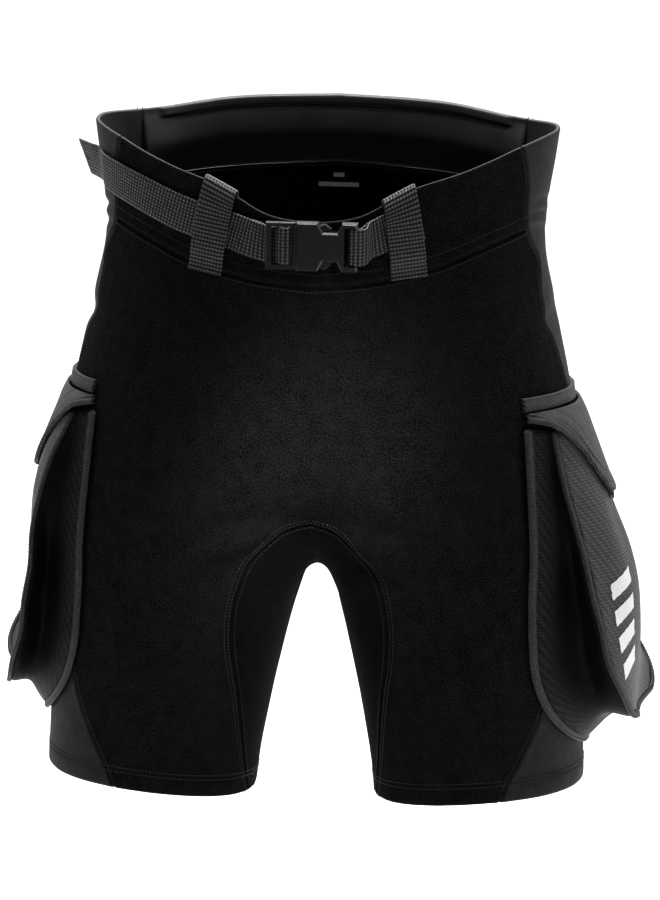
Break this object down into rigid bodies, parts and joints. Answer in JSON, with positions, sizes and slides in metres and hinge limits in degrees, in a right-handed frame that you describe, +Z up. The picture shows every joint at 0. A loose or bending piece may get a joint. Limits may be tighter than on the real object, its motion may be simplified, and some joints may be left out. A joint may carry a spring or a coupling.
{
  "type": "cargo shorts",
  "caption": "Black stretch neoprene cargo shorts, open at waist and legs, with a buckled webbing belt in loops and flapped mesh bellows pockets on the outer thighs.",
  "frame": {"origin": "centre of the waist opening, level with the side of the waistband's rim, where the wearer holds it", "axes": "+Z up out of the waist opening, -Y to the garment's front, +X to the wearer's left"},
  "size_m": [0.4804, 0.2622, 0.4933],
  "materials": {
    "neoprene_front": "matte brushed nylon face on neoprene",
    "neoprene_back": "matte nylon face on neoprene, smooth grey-black skin inside",
    "knit_side": "smooth stretch knit on neoprene",
    "neoprene_gusset": "matte stretch nylon on neoprene",
    "twill": "ribbed twill, matte",
    "mesh": "fine open mesh, matte",
    "tape": "grosgrain binding tape",
    "webbing": "ribbed webbing, slight sheen",
    "buckle_plastic": "satin moulded acetal"
  },
  "bodies": {
    "root": {"waistband_front": "neoprene_front", "waistband_back": "neoprene_back", "front_panel": "neoprene_front", "back_panel": "neoprene_back", "side_panel_left": "knit_side", "side_panel_right": "knit_side", "gusset": "neoprene_gusset", "pocket_strip_left": "twill", "pocket_flap_left": "twill", "pocket_face_left": "mesh", "pocket_bellows_left": "mesh", "pocket_seat_binding_left": "tape", "pocket_face_binding_left": "tape", "belt_left": "webbing", "belt_loop_left": "webbing", "pocket_strip_right": "twill", "pocket_flap_right": "twill", "pocket_face_right": "mesh", "pocket_bellows_right": "mesh", "pocket_seat_binding_right": "tape", "pocket_face_binding_right": "tape", "belt_right": "webbing", "belt_loop_right": "webbing", "buckle_plug": "buckle_plastic", "buckle_socket": "buckle_plastic"}
  },
  "joints": []
}
